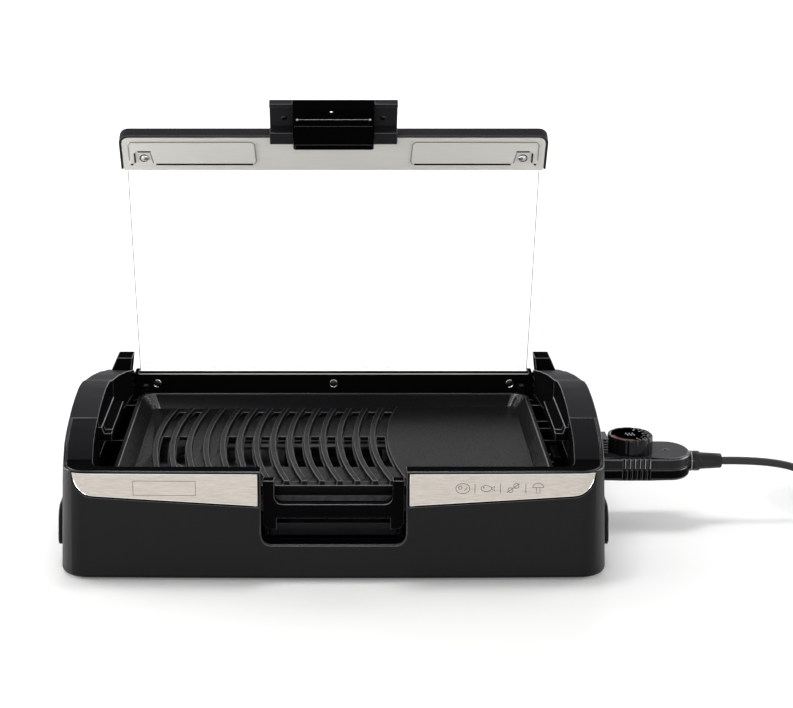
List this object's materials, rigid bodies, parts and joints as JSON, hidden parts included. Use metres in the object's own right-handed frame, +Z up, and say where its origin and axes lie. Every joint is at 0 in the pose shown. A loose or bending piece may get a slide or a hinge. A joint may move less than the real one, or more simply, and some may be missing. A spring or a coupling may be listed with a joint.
{
  "type": "electric countertop grill",
  "caption": "Countertop electric grill: lift-off cast ribbed and flat plate, hinged bent-glass lid, pull-out drip tray, plug-in thermostat probe with cord.",
  "frame": {"origin": "on the table under the middle of the base", "axes": "+X to the right along the base, +Y to the back towards the hinge, +Z up"},
  "size_m": [0.8335, 0.3099, 0.3794],
  "materials": {
    "black_abs": "fine matt texture",
    "gloss_black_abs": "gloss",
    "bakelite": "satin",
    "brushed_stainless": "brushed along X",
    "satin_stainless": "satin",
    "nonstick_cast_aluminium": "dark non-stick coating, satin",
    "black_enamel": "enamel",
    "aluminised_steel": "dull",
    "element_sheath": "dull, heat darkened",
    "ceramic": "unglazed ceramic",
    "plated_steel": "bright plated",
    "tempered_glass": "clear",
    "rubber": "matt",
    "cord_vinyl": "semi-matt vinyl",
    "plated_brass": "bright",
    "lamp_lens": "clear amber"
  },
  "bodies": {
    "base": {"outer_housing": "black_abs", "top_frame": "black_abs", "socket_frame": "bakelite", "bottom_cover": "bakelite", "reflector_pan": "aluminised_steel", "terminal_block": "ceramic", "contact_front": "plated_steel", "contact_rear": "plated_steel", "element_clip_left": "plated_steel", "element_clip_right": "plated_steel", "heating_element": "element_sheath", "side_cap_left": "black_abs", "side_cap_right": "black_abs", "hinge_cover_left": "black_abs", "hinge_cover_right": "black_abs", "trim_plate_left": "brushed_stainless", "trim_plate_right": "brushed_stainless", "side_grip_left": "bakelite", "side_grip_right": "bakelite", "foot_front_left": "rubber", "foot_front_right": "rubber", "foot_rear_left": "rubber", "foot_rear_right": "rubber"},
    "grill_plate": {"grill_plate": "nonstick_cast_aluminium"},
    "drip_tray": {"drip_tray": "black_enamel", "tray_front": "black_abs"},
    "lid": {"lid_glass": "tempered_glass", "lid_band": "satin_stainless", "lid_frame": "black_abs", "lid_handle": "black_abs", "handle_insert": "bakelite", "hinge_rail": "black_abs", "clamp_strip": "black_abs", "hinge_pin_left": "plated_steel", "hinge_pin_right": "plated_steel", "rail_screw_left": "plated_steel", "rail_screw_middle": "plated_steel", "rail_screw_right": "plated_steel", "band_screw_left": "plated_steel", "band_screw_right": "plated_steel"},
    "probe": {"probe_upper_shell": "gloss_black_abs", "probe_lower_shell": "gloss_black_abs", "probe_nose": "bakelite", "sensing_rod": "plated_steel", "thermostat_switch": "bakelite", "signal_lamp": "lamp_lens", "strain_relief": "cord_vinyl", "cord_run": "cord_vinyl", "cord_coil": "cord_vinyl", "cord_tie": "rubber", "mains_plug": "cord_vinyl", "plug_pin_left": "plated_brass", "plug_pin_right": "plated_brass"},
    "knob": {"control_knob": "gloss_black_abs", "knob_shaft": "plated_steel"}
  },
  "joints": [
    {"name": "lid_hinge", "type": "hinge", "parent": "base", "child": "lid", "pos_m": [0, 0.13, 0.092], "axis": [-1, 0, 0], "range_deg": [-91, 0]},
    {"name": "plate_lift", "type": "slide", "parent": "base", "child": "grill_plate", "axis": [0, 0, 1], "range_m": [0, 0.12]},
    {"name": "tray_slide", "type": "slide", "parent": "base", "child": "drip_tray", "axis": [0, -1, 0], "range_m": [0, 0.17]},
    {"name": "probe_unplug", "type": "slide", "parent": "base", "child": "probe", "axis": [1, 0, 0], "range_m": [0, 0.095]},
    {"name": "knob_turn", "type": "hinge", "parent": "probe", "child": "knob", "pos_m": [0.2767, 0, 0.0693], "axis": [0, 0, -1], "range_deg": [0, 270]}
  ]
}
